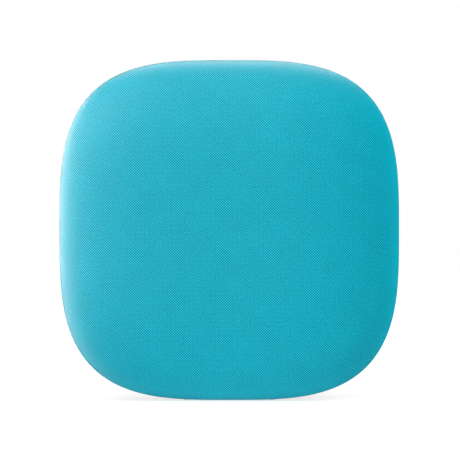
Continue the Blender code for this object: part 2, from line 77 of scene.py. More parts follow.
# The shape of the case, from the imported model.
CLOTH_LOW, CLOTH_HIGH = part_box("front_fabric")
BAND_LOW, BAND_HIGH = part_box("mid_frame")
SHELL_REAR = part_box("rear_shell")[1].y
PLATE_LOW, PLATE_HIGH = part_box("radiator_plate")
RADIATOR_LOW, RADIATOR_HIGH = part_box("radiator_frame")
HALF_WIDTH = CLOTH_HIGH.x
CENTRE_Z = (CLOTH_LOW.z + CLOTH_HIGH.z) / 2
SEAM_Y = CLOTH_HIGH.y
FRONT_DEPTH = SEAM_Y - CLOTH_LOW.y
CASE_HALF_WIDTH = BAND_HIGH.x
CASE_WALL = 3.0 * MM
REAR_WALL = 2.4 * MM
SQUARENESS = 3.24  # the superellipse exponent of the case's outline
DOME_POWER = 3.0  # and of the cloth front in section
REAR_POWER = 2.08  # and of the rear shell in section
AXIS = Vector((0, 0, CENTRE_Z))

CASE_STEPS = 288
ROUND_STEPS = 96
KEYS = ("power", "volume_down", "play", "volume_up", "bluetooth")
SCREW_OFFSET = 41.5 * MM
SECTORS = 12  # of a soft ring


# Node trees


def set_input(tree, socket, value):
    """Links the socket to the one that feeds it, or gives it a value."""
    if isinstance(value, bpy.types.NodeSocket):
        tree.links.new(value, socket)
    else:
        socket.default_value = value


def node(tree, kind, settings=None, **inputs):
    """A shader node. Its inputs are given by name, or as i0, i1 and so on by number."""
    made = tree.nodes.new(kind)
    for name, value in (settings or {}).items():
        setattr(made, name, value)
    for name, value in inputs.items():
        numbered = re.fullmatch(r"i(\d+)", name)
        key = int(numbered[1]) if numbered else name.replace("_", " ")
        set_input(tree, made.inputs[key], value)
    return made


def math_node(tree, operation, first, second=0.0):
    settings = {"operation": operation}
    return node(tree, "ShaderNodeMath", settings, i0=first, i1=second).outputs[0]


def noise(tree, place, scale, detail=2.0, roughness=0.5):
    settings = {"Scale": scale, "Detail": detail, "Roughness": roughness}
    return node(tree, "ShaderNodeTexNoise", Vector=place, **settings).outputs["Fac"]


def weighted(tree, *terms):
    """The sum of each value times its weight."""
    total = 0.0
    settings = {"operation": "MULTIPLY_ADD"}
    for value, weight in terms:
        made = node(tree, "ShaderNodeMath", settings, i0=value, i1=weight, i2=total)
        total = made.outputs[0]
    return total


def spread(tree, value, low, high, to_low=0.0, to_high=1.0):
    """The value, taken from one range to another."""
    made = node(tree, "ShaderNodeMapRange", i0=value, i1=low, i2=high, i3=to_low, i4=to_high)
    return made.outputs[0]


def mixed(tree, factor, first, second):
    """A colour from the first to the second. Each is a colour or the socket that feeds it."""
    made = node(tree, "ShaderNodeMix", {"data_type": "RGBA"}, i0=factor)
    for socket, colour in ((made.inputs[6], first), (made.inputs[7], second)):
        linked = isinstance(colour, bpy.types.NodeSocket)
        set_input(tree, socket, colour if linked else (*colour, 1.0))
    return made.outputs[2]


NOISE_RANGE = (0.3, 0.7)  # nearly all of a noise texture lies between these


def varied(tree, noisy, to_low, to_high):
    """A number that follows a noise texture."""
    return spread(tree, noisy, *NOISE_RANGE, to_low, to_high)


def tinted(tree, noisy, dark, light):
    """A colour that follows a noise texture."""
    return mixed(tree, spread(tree, noisy, *NOISE_RANGE), dark, light)


def object_place(tree):
    return node(tree, "ShaderNodeTexCoord").outputs["Object"]


def bump(tree, height, strength, distance):
    made = node(tree, "ShaderNodeBump", Strength=strength, Distance=distance, Height=height)
    return made.outputs[0]


MATERIALS = {}


def material(name, build):
    """The material of this name, made by its function the first time."""
    if name not in MATERIALS:
        made = bpy.data.materials.new(name)
        made.use_nodes = True
        build(made.node_tree, made.node_tree.nodes["Principled BSDF"])
        MATERIALS[name] = made
    return MATERIALS[name]


def feed(tree, shader, **inputs):
    for name, value in inputs.items():
        set_input(tree, shader.inputs[name.replace("_", " ")], value)


# Materials


THREAD_PITCH = 0.67 * MM
THREAD_SWAY = 0.35 * MM
# The dark end carries painted shade between the threads. The light end's bit of red is a painted
# highlight on their tops.
CLOTH_DARK_AND_GAP_SHADE = (0.0, 0.05, 0.08)
CLOTH_LIGHT_AND_HIGHLIGHT = (0.006, 0.75, 0.96)


def cloth(tree, shader):
    """Fine stretch cloth: ribs one way, a fainter thread across them, and soft fuzz."""
    place = node(tree, "ShaderNodeUVMap", {"uv_map": "weave"}).outputs[0]
    slant = (0, 0, math.radians(45))
    diagonal = node(tree, "ShaderNodeMapping", Vector=place, Rotation=slant).outputs[0]
    wobble = node(tree, "ShaderNodeTexNoise", Vector=place, Scale=420.0).outputs["Color"]
    scaled = {"operation": "SCALE"}
    sway = node(tree, "ShaderNodeVectorMath", scaled, i0=wobble, Scale=THREAD_SWAY).outputs[0]
    threads = node(tree, "ShaderNodeVectorMath", {"operation": "ADD"}, i0=diagonal, i1=sway)
    parts = node(tree, "ShaderNodeSeparateXYZ", Vector=threads.outputs[0])
    turn = math.tau / THREAD_PITCH
    rib = math_node(tree, "SINE", math_node(tree, "MULTIPLY", parts.outputs[1], turn))
    cross = math_node(tree, "SINE", math_node(tree, "MULTIPLY", parts.outputs[0], turn))
    stitch = math_node(tree, "MULTIPLY", rib, cross)
    height = weighted(tree, (rib, 0.62), (cross, 0.22), (stitch, 0.16))
    fine = noise(tree, place, scale=1500.0, detail=3.0, roughness=0.65)
    fuzz = varied(tree, fine, -1.0, 1.0)
    patches = noise(tree, place, scale=90.0, detail=3.0, roughness=0.6)
    mottle = varied(tree, patches, -1.0, 1.0)
    # Painted shade where the threads sink and a painted highlight where they stand high, with
    # random fuzz and patches.
    tone = weighted(tree, (height, 0.5), (fuzz, 0.10), (mottle, 0.02))
    relief = weighted(tree, (height, 1.0), (fuzz, 0.15))
    feed(
        tree,
        shader,
        Base_Color=mixed(tree, spread(tree, tone, -0.5, 0.5), CLOTH_DARK_AND_GAP_SHADE, CLOTH_LIGHT_AND_HIGHLIGHT),
        Roughness=spread(tree, fuzz, -1.0, 1.0, 0.5, 0.62),
        Normal=bump(tree, relief, strength=0.22, distance=0.12 * MM),
    )
    shader.inputs["Specular IOR Level"].default_value = 0.12


def mottled(
    dark, light, rough, patches, tone=NOISE_RANGE, grain=None, speckle=0.0, relief=None, **uniform
):
    """A finish whose tone and roughness follow patches, a noise's scale, detail and roughness.

    A finer noise, grain, changes the roughness by up to speckle. relief is a bump's strength
    and distance, and follows the grain, or the patches where there is no grain. What is uniform
    is set on the shader.
    """

    def build(tree, shader):
        place = object_place(tree)
        broad = noise(tree, place, *patches)
        fine = noise(tree, place, *grain) if grain else broad
        roughness = varied(tree, broad, *rough)
        if speckle:
            roughness = math_node(tree, "ADD", roughness, varied(tree, fine, -speckle, speckle))
        colour = mixed(tree, spread(tree, broad, *tone), dark, light)
        feed(tree, shader, Base_Color=colour, Roughness=roughness, **uniform)
        if relief:
            feed(tree, shader, Normal=bump(tree, fine, *relief))

    return build


def plastic(dark, light, rough, grain):
    """Moulded plastic: fine spark-eroded grain and a faint change of tone."""
    return mottled(
        dark, light, rough=(rough - 0.04, rough + 0.04), patches=(45.0, 3.0, 0.55),
        grain=(grain, 3.0, 0.6), speckle=0.05, relief=(0.22, 0.04 * MM), Specular_IOR_Level=0.4,
    )


def spun_aluminium(tree, shader):
    """Turned metal: fine rings about the speaker's axis."""
    place = object_place(tree)
    parts = node(tree, "ShaderNodeSeparateXYZ", Vector=place)
    up = math_node(tree, "SUBTRACT", parts.outputs[2], CENTRE_Z)
    squares = [math_node(tree, "MULTIPLY", side, side) for side in (parts.outputs[0], up)]
    radius = math_node(tree, "SQRT", math_node(tree, "ADD", *squares))
    ring_place = node(tree, "ShaderNodeCombineXYZ", X=radius).outputs[0]
    rings = noise(tree, ring_place, scale=4200.0, detail=3.0, roughness=0.7)
    drift = noise(tree, place, scale=60.0, detail=2.0, roughness=0.5)
    roughness = varied(tree, rings, 0.20, 0.34)
    feed(
        tree,
        shader,
        Base_Color=tinted(tree, rings, (0.42, 0.43, 0.445), (0.60, 0.61, 0.625)),
        Roughness=math_node(tree, "ADD", roughness, varied(tree, drift, -0.03, 0.03)),
        Normal=bump(tree, rings, strength=0.2, distance=0.03 * MM),
    )
    shader.inputs["Metallic"].default_value = 1.0


WIRE_PITCH = 0.25 * MM


def winding(tree, shader):
    """Enamelled wire: turns stacked along the coil, each darker where it meets the next, which is
    painted shade.
    """
    place = object_place(tree)
    along = node(tree, "ShaderNodeSeparateXYZ", Vector=place).outputs[1]
    wires = math_node(tree, "SINE", math_node(tree, "MULTIPLY", along, math.tau / WIRE_PITCH))
    # The colour follows each turn's round: painted shade in the grooves between turns.
    feed(
        tree,
        shader,
        Base_Color=mixed(tree, spread(tree, wires, -1, 1), (0.35, 0.12, 0.05), (0.75, 0.36, 0.18)),
        Roughness=varied(tree, noise(tree, place, scale=900.0), 0.25, 0.4),
        Normal=bump(tree, wires, strength=0.4, distance=0.06 * MM),
    )
    shader.inputs["Metallic"].default_value = 1.0


def fibrous(dark, light):
    """Pressed pulp or resin-dipped cloth: fibres that catch a little light."""

    def build(tree, shader):
        place = object_place(tree)
        edges = {"feature": "DISTANCE_TO_EDGE"}
        cells = node(tree, "ShaderNodeTexVoronoi", edges, Vector=place, Scale=900.0)
        fibres = cells.outputs[0]
        pulp = noise(tree, place, scale=420.0, detail=4.0, roughness=0.65)
        feed(
            tree,
            shader,
            Base_Color=tinted(tree, pulp, dark, light),
            Roughness=varied(tree, pulp, 0.8, 0.95),
            Normal=bump(tree, fibres, strength=0.3, distance=0.08 * MM),
        )

    return build


def circuit_board(tree, shader):
    """Solder mask with paler copper tracks under it."""
    place = object_place(tree)
    tracks = node(
        tree, "ShaderNodeTexBrick", Vector=place, Scale=260.0, Mortar_Size=0.06, Bias=-0.4
    ).outputs["Fac"]
    cloudy = noise(tree, place, scale=130.0, detail=3.0, roughness=0.5)
    mask = tinted(tree, cloudy, (0.004, 0.07, 0.035), (0.008, 0.11, 0.055))
    feed(
        tree,
        shader,
        Base_Color=mixed(tree, tracks, mask, (0.03, 0.22, 0.10)),
        Roughness=varied(tree, cloudy, 0.3, 0.42),
        Normal=bump(tree, tracks, strength=0.3, distance=0.03 * MM),
    )


def foam(tree, shader):
    place = object_place(tree)
    cells = node(tree, "ShaderNodeTexVoronoi", Vector=place, Scale=1400.0).outputs["Distance"]
    # Each cell is darker in its pore, where the bump sinks: painted shade in the pores.
    feed(
        tree,
        shader,
        Base_Color=mixed(
            tree, spread(tree, cells, 0.1, 0.7), (0.05, 0.05, 0.055), (0.20, 0.20, 0.21)
        ),
        Roughness=spread(tree, cells, 0.0, 1.0, 0.9, 1.0),
        Normal=bump(tree, cells, strength=0.7, distance=0.25 * MM),
    )


GRAPHITE = plastic((0.030, 0.034, 0.038), (0.040, 0.044, 0.049), rough=0.46, grain=2400.0)
BLACK = plastic((0.014, 0.014, 0.016), (0.024, 0.024, 0.026), rough=0.5, grain=1800.0)
KEY_PLASTIC = plastic((0.024, 0.027, 0.030), (0.034, 0.037, 0.041), rough=0.42, grain=3000.0)
RIM_PLASTIC = plastic((0.012, 0.012, 0.014), (0.02, 0.02, 0.022), rough=0.28, grain=2600.0)

# Bead-blasted and anodised: tiny pits, and tone that drifts a little.
BLASTED_ALUMINIUM = mottled(
    (0.50, 0.515, 0.53), (0.58, 0.59, 0.605), rough=(0.30, 0.36), patches=(30.0, 3.0, 0.5),
    grain=(5200.0, 2.0, 0.7), speckle=0.05, relief=(0.12, 0.02 * MM), Metallic=1.0,
)
RUBBER = mottled(
    (0.018, 0.018, 0.02), (0.035, 0.035, 0.038), rough=(0.62, 0.82), patches=(160.0, 4.0, 0.6),
    tone=(0.45, 0.75), grain=(2600.0, 3.0, 0.65), relief=(0.18, 0.04 * MM),
)
PLATED_STEEL = mottled(
    (0.40, 0.40, 0.41), (0.60, 0.60, 0.60), rough=(0.22, 0.38), patches=(240.0, 4.0, 0.6),
    grain=(3000.0, 2.0, 0.6), relief=(0.1, 0.02 * MM), Metallic=1.0,
)
FERRITE = mottled(
    (0.03, 0.03, 0.033), (0.07, 0.07, 0.075), rough=(0.4, 0.6), patches=(1500.0, 4.0, 0.7),
    tone=(0.35, 0.65), relief=(0.3, 0.05 * MM), Metallic=0.3,
)
CONTACT_GOLD = mottled(
    (0.70, 0.48, 0.18), (0.86, 0.62, 0.26), rough=(0.2, 0.32), patches=(1800.0, 2.0, 0.5),
    Metallic=1.0,
)
CELL_SLEEVE = mottled(
    (0.02, 0.16, 0.42), (0.03, 0.22, 0.52), rough=(0.22, 0.36), patches=(110.0, 2.0, 0.5),
    relief=(0.25, 0.2 * MM),
)
CLEAR_PLASTIC = mottled(
    (0.80, 0.83, 0.85), (0.92, 0.94, 0.95), rough=(0.12, 0.22), patches=(500.0, 2.0, 0.5),
    Transmission_Weight=0.6,
)
ICON_PAINT = mottled(
    (0.62, 0.64, 0.65), (0.72, 0.74, 0.75), rough=(0.45, 0.6), patches=(2600.0, 2.0, 0.5)
)

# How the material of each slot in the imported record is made.
SLOT_LOOKS = {
    "turquoise_cloth": cloth,
    "graphite_plastic": GRAPHITE,
    "black_plastic": BLACK,
    "black_rubber": RUBBER,
    "satin_aluminium": BLASTED_ALUMINIUM,
    "zinc_steel": PLATED_STEEL,
    "ferrite": FERRITE,
    "copper_wire": winding,
    "cone_paper": fibrous((0.03, 0.03, 0.033), (0.07, 0.07, 0.075)),
    "spider_cloth": fibrous((0.35, 0.22, 0.08), (0.55, 0.38, 0.16)),
    "circuit_board": circuit_board,
    "grey_foam": foam,
    "cell_sleeve": CELL_SLEEVE,
    "clear_plastic": CLEAR_PLASTIC,
}


def slot_material(slot):
    return material(slot, SLOT_LOOKS[slot])


# Shapes


def outline_radius(turn, power):
    """How far a squircle of unit half width reaches in this direction."""
    return (abs(math.cos(turn)) ** power + abs(math.sin(turn)) ** power) ** (-1 / power)


SHARP = 30  # degrees between faces from which an edge is drawn sharp


def show(name, mesh, body, slot, look=None, sharp=SHARP):
    """A new piece of a slot, from a bmesh. It rides on the body, if there is one."""
    data = mesh_of(mesh, name)
    data.shade_smooth()
    data.set_sharp_from_angle(angle=math.radians(sharp))
    piece = bpy.data.objects.new(name, data)
    bpy.context.scene.collection.objects.link(piece)
    data.materials.clear()
    data.materials.append(look or slot_material(slot))
    if body:
        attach(piece, body)
    return piece


def mesh_of(mesh, name):
    """The bmesh as mesh data. The bmesh itself is freed."""
    data = bpy.data.meshes.new(name)
    mesh.to_mesh(data)
    mesh.free()
    return data


def ring_of(mesh, radius, along, power, steps):
    """One ring of a turned shape, or a single vertex where it meets the axis."""
    if radius == 0:
        return [mesh.verts.new((0, along, 0))]
    ring = []
    for step in range(steps):
        turn = math.tau * step / steps
        reach = radius * outline_radius(turn, power)
        ring.append(mesh.verts.new((reach * math.cos(turn), along, reach * math.sin(turn))))
    return ring


def turned(profile, steps=ROUND_STEPS, power=2.0, closed=True, place=None):
    """A bmesh turned about the Y axis.

    A profile point is (radius, y), or (radius, y, power) where its ring has a power of its own.
    """
    mesh = bmesh.new()
    rings = [
        ring_of(mesh, point[0], point[1], point[2] if len(point) > 2 else power, steps)
        for point in profile
    ]
    pairs = list(zip(rings, rings[1:]))
    if closed and len(rings[0]) > 1:
        pairs.append((rings[-1], rings[0]))
    for first, second in pairs:
        for step in range(steps):
            corners = [
                first[step % len(first)],
                first[(step + 1) % len(first)],
                second[(step + 1) % len(second)],
                second[step % len(second)],
            ]
            mesh.faces.new(list(dict.fromkeys(corners)))
    bmesh.ops.recalc_face_normals(mesh, faces=mesh.faces)
    bmesh.ops.transform(mesh, matrix=place or Matrix.Translation(AXIS), verts=mesh.verts)
    return mesh


NEARLY_STRAIGHT = math.radians(165)
MOST_CUT = 0.45  # of the shorter side of a corner


def rounded(profile, radius, steps=4):
    """The closed profile with each corner off the axis turned into an arc of about this radius."""
    out = []
    for index, here in enumerate(profile):
        point = Vector(here)
        back = Vector(profile[index - 1]) - point
        ahead = Vector(profile[(index + 1) % len(profile)]) - point
        if here[0] == 0 or back.angle(ahead) > NEARLY_STRAIGHT:
            out.append(here)
            continue
        cut = min(radius, MOST_CUT * back.length, MOST_CUT * ahead.length)
        start, end = point + back.normalized() * cut, point + ahead.normalized() * cut
        for step in range(steps + 1):
            t = step / steps
            spot = start * (1 - t) ** 2 + point * 2 * t * (1 - t) + end * t**2
            out.append((spot.x, spot.y))
    return out


def arc(start, end, middle, radius_x, radius_y, power=2.0, steps=8):
    """Points of a superellipse arc about middle, from one angle in degrees to another."""
    points = []
    for step in range(steps + 1):
        turn = math.radians(start + (end - start) * step / steps)
        across, along = math.cos(turn), math.sin(turn)
        x = middle[0] + radius_x * math.copysign(abs(across) ** (2 / power), across)
        y = middle[1] + radius_y * math.copysign(abs(along) ** (2 / power), along)
        points.append((x, y))
    return points


def cylinder(radius, near, far, place, steps=48, flare=0.0):
    """A cylinder along the place's own Y. With a flare, it opens out round its far end."""
    profile = [(0, near), (radius, near), (radius, far), (0, far)]
    if flare:
        wide = (radius + 4 * flare, far + 3 * flare)
        profile[2:] = [(radius, far - flare), wide, (0, wide[1])]
    return turned(profile, steps, place=place)


def merged(meshes):
    """All the shapes as one, side by side."""
    whole = bmesh.new()
    for mesh in meshes:
        data = mesh_of(mesh, "shape")
        whole.from_mesh(data)
        bpy.data.meshes.remove(data)
    return whole


def combine(piece, mesh, operation):
    """Adds a shape to the piece or cuts it away, and keeps only the result."""
    other = bpy.data.objects.new("helper", mesh_of(mesh, "helper"))
    bpy.context.scene.collection.objects.link(other)
    change = piece.modifiers.new("change", "BOOLEAN")
    change.operation = operation
    change.object = other
    graph = bpy.context.evaluated_depsgraph_get()
    result = bpy.data.meshes.new_from_object(piece.evaluated_get(graph))
    piece.modifiers.clear()
    paint = piece.data.materials[0]
    piece.data = result
    result.materials.clear()
    result.materials.append(paint)
    result.set_sharp_from_angle(angle=math.radians(SHARP))
    bpy.data.objects.remove(other)


def box(low, high, place=None):
    mesh = bmesh.new()
    bmesh.ops.create_cube(mesh, size=1.0)
    size = Vector(high) - Vector(low)
    bmesh.ops.scale(mesh, vec=size, verts=mesh.verts)
    bmesh.ops.translate(mesh, vec=(Vector(low) + Vector(high)) / 2, verts=mesh.verts)
    if place is not None:
        bmesh.ops.transform(mesh, matrix=place, verts=mesh.verts)
    return mesh


def prism(outline, near, far, place=None):
    """An outline of (x, z) points carried along Y."""
    mesh = bmesh.new()
    face = mesh.faces.new([mesh.verts.new((x, near, z)) for x, z in outline])
    grown = bmesh.ops.extrude_face_region(mesh, geom=[face])
    corners = [item for item in grown["geom"] if isinstance(item, bmesh.types.BMVert)]
    bmesh.ops.translate(mesh, vec=(0, far - near, 0), verts=corners)
    bmesh.ops.recalc_face_normals(mesh, faces=mesh.faces)
    if place is not None:
        bmesh.ops.transform(mesh, matrix=place, verts=mesh.verts)
    return mesh


def slot_outline(x, z, width, height, steps=12):
    """A rectangle about (x, z) whose two short sides are half circles."""
    radius, reach = height / 2, (width - height) / 2
    points = []
    for side in (1, -1):
        for step in range(steps + 1):
            turn = math.pi * (step / steps - 0.5)
            aside = reach + radius * math.cos(turn)
            points.append((x + side * aside, z + side * radius * math.sin(turn)))
    return points


def screw_places():
    """The (x, z) of each case screw, in the order of their numbers."""
    offsets = (-SCREW_OFFSET, SCREW_OFFSET)
    return [(x, CENTRE_Z + z) for x in offsets for z in offsets]


def node_middle(name):
    low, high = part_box(name)
    return (low + high) / 2


# The cloth front


CLOTH_EDGE = 0.8 * MM  # the radius of the turn at the cloth's edge
CLOTH_HEM = 6 * MM
CLOTH_THICKNESS = 0.7 * MM
DOME_STEPS = 64
DOME_CROWDING = 1.15  # above 1, the rings lie closer together towards the edge


def cloth_profile():
    """From the middle of the front, over the dome, round the edge and in along the hem."""
    points = []
    for step in range(DOME_STEPS + 1):
        turn = math.pi / 2 * (1 - step / DOME_STEPS) ** DOME_CROWDING
        reach = HALF_WIDTH * math.cos(turn) ** (2 / DOME_POWER) if step else 0
        rise = (FRONT_DEPTH - CLOTH_EDGE) * math.sin(turn) ** (2 / DOME_POWER)
        points.append((reach, SEAM_Y - CLOTH_EDGE - rise))
    middle = (HALF_WIDTH - CLOTH_EDGE, SEAM_Y - CLOTH_EDGE)
    points += arc(0, 90, middle, CLOTH_EDGE, CLOTH_EDGE)[1:]
    points.append((HALF_WIDTH - CLOTH_HEM, SEAM_Y))
    return points


def build_cloth():
    """The stretched cloth. Its threads are laid out in the UV map named weave."""
    profile = cloth_profile()
    mesh = turned(profile, CASE_STEPS, SQUARENESS, closed=False)
    spans = [0.0]
    for first, second in zip(profile, profile[1:]):
        spans.append(spans[-1] + math.dist(first, second))
    # Each vertex keeps its distance from the middle along the cloth, and so the threads
    # keep their size. The first vertex is the middle, and the rings follow outwards.
    weave = mesh.loops.layers.uv.new("weave")
    mesh.verts.ensure_lookup_table()
    flat = {}
    for vert in mesh.verts:
        if vert.index == 0:
            flat[vert] = (0.0, 0.0)
            continue
        ring = 1 + (vert.index - 1) // CASE_STEPS
        turn = math.tau * ((vert.index - 1) % CASE_STEPS) / CASE_STEPS
        reach = spans[ring] * outline_radius(turn, SQUARENESS)
        flat[vert] = (reach * math.cos(turn), reach * math.sin(turn))
    for face in mesh.faces:
        for loop in face.loops:
            loop[weave].uv = flat[loop.vert]
    foremost = min(mesh.faces, key=lambda face: face.calc_center_median().y)
    if foremost.normal.y > 0:
        bmesh.ops.reverse_faces(mesh, faces=mesh.faces)
    piece = show("cloth_cover", mesh, "housing", "turquoise_cloth", sharp=60)
    thick = piece.modifiers.new("thickness", "SOLIDIFY")
    thick.thickness = CLOTH_THICKNESS
    thick.offset = -1.0
    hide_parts("front_fabric")


# The case


KEY_HOLE_RADIUS = 4.9 * MM


def build_band():
    """The bead-blasted band, bevelled at both edges and round each key's hole."""
    outer, inner, edge = CASE_HALF_WIDTH, CASE_HALF_WIDTH - CASE_WALL, 0.6 * MM
    front, rear = BAND_LOW.y, BAND_HIGH.y
    # The ledge inside the front edge carries the baffle.
    ledge, ledge_back = outer - 7.4 * MM, front + 2.0 * MM
    profile = [
        (ledge, front),
        (outer - edge, front),
        (outer, front + edge),
        (outer, rear - edge),
        (outer - edge, rear),
        (inner, rear),
        (inner, ledge_back),
        (ledge, ledge_back),
    ]
    mesh = turned(rounded(profile, 0.12 * MM, 2), CASE_STEPS, SQUARENESS)
    piece = show("band", mesh, "housing", "satin_aluminium")
    holes = [
        cylinder(KEY_HOLE_RADIUS, -6 * MM, 0.0, key_place(key), 64, flare=0.15 * MM)
        for key in KEYS
    ]
    combine(piece, merged(holes), "DIFFERENCE")
    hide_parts("mid_frame")


def inside_case(point):
    across, up = abs(point.x - AXIS.x), abs(point.z - AXIS.z)
    return (across**SQUARENESS + up**SQUARENESS) ** (1 / SQUARENESS) < CASE_HALF_WIDTH


def key_place(key):
    """Where a key sits: its origin on the band's surface, its own +Y pointing out of the band."""
    joint = next(j for j in frame["joints"] if j["name"] == f"{key}_press")
    outward = -Vector(joint["axis"]).normalized()
    switch = node_middle(f"switch_{key}")
    start = Vector((switch.x, (BAND_LOW.y + BAND_HIGH.y) / 2, switch.z))
    # The surface lies between the switch and a point well outside the case.
    low, high = 0.0, 30 * MM
    for _ in range(40):
        middle = (low + high) / 2
        inside = inside_case(start + outward * middle)
        low, high = (middle, high) if inside else (low, middle)
    surface = start + outward * low
    along = Vector((outward.z, 0, -outward.x))
    turn = Matrix((along, outward, along.cross(outward))).transposed().to_4x4()
    return Matrix.Translation(surface) @ turn


BOSS_RADIUS, BOSS_FRONT, BOSS_REAR = 4.4 * MM, 5.3 * MM, 25.8 * MM
SCREW_HOLE_RADIUS, SCREW_HOLE_FRONT = 1.6 * MM, 4 * MM
SCREW_HEAD_RADIUS, SCREW_HEAD_FRONT = 3.1 * MM, 22.4 * MM
PAST = 1 * MM  # how far a cutter goes past what it cuts


def build_rear_shell():
    """The back cover: one wall, rounded over to a flat back, with bosses and openings."""
    outer, inner = CASE_HALF_WIDTH, CASE_HALF_WIDTH - CASE_WALL
    rear, inside_rear = SHELL_REAR, SHELL_REAR - REAR_WALL
    lip, flat = 16.2 * MM, 46 * MM
    round_start = lip + 0.6 * MM
    # The radiator's rim stands in this opening, with a gap round it.
    opening = RADIATOR_HIGH.x - 3 * MM + 0.3 * MM
    profile = [(inner, lip), (outer - 0.5 * MM, lip), (outer - 0.12 * MM, lip + 0.15 * MM)]
    profile += arc(0, 90, (flat, round_start), outer - flat, rear - round_start, REAR_POWER, 22)
    profile += [
        (opening + 1.6 * MM, rear, 2.0),
        (opening + 0.9 * MM, rear, 2.0),
        (opening + 0.3 * MM, rear - 0.25 * MM, 2.0),
        (opening, rear - 0.8 * MM, 2.0),
        (opening, inside_rear, 2.0),
    ]
    profile += arc(90, 0, (flat, lip), inner - flat, inside_rear - lip, REAR_POWER, 14)[:-1]
    mesh = turned(profile, CASE_STEPS, SQUARENESS)
    piece = show("back_cover", mesh, "housing", "graphite_plastic")
    stepped = [
        (0, SCREW_HOLE_FRONT),
        (SCREW_HOLE_RADIUS, SCREW_HOLE_FRONT),
        (SCREW_HOLE_RADIUS, SCREW_HEAD_FRONT),
        (SCREW_HEAD_RADIUS, SCREW_HEAD_FRONT),
        (SCREW_HEAD_RADIUS, rear + 3 * MM),
        (0, rear + 3 * MM),
    ]
    bosses, cuts = [], []
    for x, z in screw_places():
        place = Matrix.Translation((x, 0, z))
        bosses.append(cylinder(BOSS_RADIUS, BOSS_FRONT, BOSS_REAR, place, 32))
        cuts.append(turned(stepped, 40, place=place))
    combine(piece, merged(bosses), "UNION")
    near, far = inside_rear - PAST, rear + PAST
    usb = node_middle("usb_c_socket")
    cuts.append(prism(slot_outline(usb.x, usb.z, 9.6 * MM, 3.9 * MM), near, far))
    for name, radius in (("aux_jack", 3.3 * MM), ("status_light_pipe", 1.5 * MM)):
        middle = node_middle(name)
        cuts.append(cylinder(radius, near, far, Matrix.Translation((middle.x, 0, middle.z))))
    combine(piece, merged(cuts), "DIFFERENCE")
    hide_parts("rear_shell")


def build_foot():
    """The rubber foot: flat below with shallow grooves, and hollowed to the band above."""
    low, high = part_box("rubber_foot")
    radius, steps, edge = CASE_HALF_WIDTH + 0.15 * MM, 40, 0.5 * MM
    groove_width, groove_depth, grooves = 1.0 * MM, 0.35 * MM, 4
    spacing = (high.x - low.x) / (grooves + 1)
    outline = [(low.x, edge), (low.x + edge, 0.0)]
    for index in range(grooves):
        middle = low.x + spacing * (index + 1)
        outline += [
            (middle - groove_width / 2, 0.0),
            (middle - groove_width / 3, groove_depth),
            (middle + groove_width / 3, groove_depth),
            (middle + groove_width / 2, 0.0),
        ]
    outline += [(high.x - edge, 0.0), (high.x, edge)]
    for step in range(steps + 1):
        x = high.x + (low.x - high.x) * step / steps
        up = radius * (1 - abs(x / radius) ** SQUARENESS) ** (1 / SQUARENESS)
        outline.append((x, CENTRE_Z - up))
    mesh = prism(outline, low.y, high.y)
    piece = show("foot", mesh, "housing", "black_rubber")
    # Both ends of the tread lift a little, so that it isn't seen from the front.
    along_x = Matrix.Rotation(math.radians(90), 4, "Z")
    ends = ((low.y, 0.6 * MM, 0.34 * MM), (high.y, high.y - 1.5 * MM, 0.5 * MM))
    for end, tread, rise in ends:
        beyond = end + math.copysign(PAST, end)
        steep = rise / abs(end - tread)
        top = steep * abs(beyond - tread)
        wedge = [(tread, 0.0), (beyond, top), (beyond, -PAST), (tread, -PAST)]
        combine(piece, prism(wedge, 1.2 * low.x, 1.2 * high.x, along_x), "DIFFERENCE")
    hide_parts("rubber_foot")


def build_seam_seal():
    """The rubber seal in the joint line between the band and the back cover."""
    low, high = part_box("rear_gasket")
    outer = CASE_HALF_WIDTH - 0.7 * MM
    inner = outer - 2 * MM
    profile = [(inner, low.y), (outer, low.y), (outer, high.y), (inner, high.y)]
    mesh = turned(rounded(profile, 0.25 * MM, 3), CASE_STEPS, SQUARENESS)
    piece = show("seam_seal", mesh, "housing", "black_rubber")
    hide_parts("rear_gasket")


# The keys


def ring_outline(radius, width, start, end, steps=24):
    """A bent bar: part of a ring between two angles in degrees."""
    points = []
    for reach, way in ((radius + width / 2, 1), (radius - width / 2, -1)):
        for step in range(steps + 1):
            share = step / steps if way == 1 else 1 - step / steps
            turn = math.radians(start + (end - start) * share)
            points.append((reach * math.cos(turn), reach * math.sin(turn)))
    return points


def bar(x, z, width, height):
    """A rectangle about (x, z)."""
    left, right = x - width / 2, x + width / 2
    low, high = z - height / 2, z + height / 2
    return [(left, low), (right, low), (right, high), (left, high)]


def icon_outlines(key):
    """The raised sign on a key, as outlines across its top. All are generic signs."""
    line, size = 0.55 * MM, 3.2 * MM
    if key == "volume_up":
        arm = (size - line) / 2
        return [
            bar(0, 0, size, line),
            bar(0, (arm + line) / 2, line, arm),
            bar(0, -(arm + line) / 2, line, arm),
        ]
    if key == "volume_down":
        return [bar(0, 0, size, line)]
    if key == "play":
        return [
            [(-1.7 * MM, -1.3 * MM), (0.2 * MM, 0), (-1.7 * MM, 1.3 * MM)],
            bar(0.95 * MM, 0, line, 2.6 * MM),
            bar(2.0 * MM, 0, line, 2.6 * MM),
        ]
    if key == "power":
        return [ring_outline(1.35 * MM, line, 130, 410), bar(0, 1.2 * MM, line, 1.5 * MM)]
    # A source and the waves that leave it, for the wireless key.
    spot_radius, spot_steps, lowered = 0.4 * MM, 20, 1.1 * MM
    turns = [math.tau * step / spot_steps for step in range(spot_steps)]
    signs = [
        [(spot_radius * math.cos(turn), spot_radius * math.sin(turn) - lowered) for turn in turns]
    ]
    for radius in (1.25 * MM, 2.2 * MM):
        wave = ring_outline(radius, line * 0.85, 45, 135)
        signs.append([(x, z - lowered) for x, z in wave])
    return signs


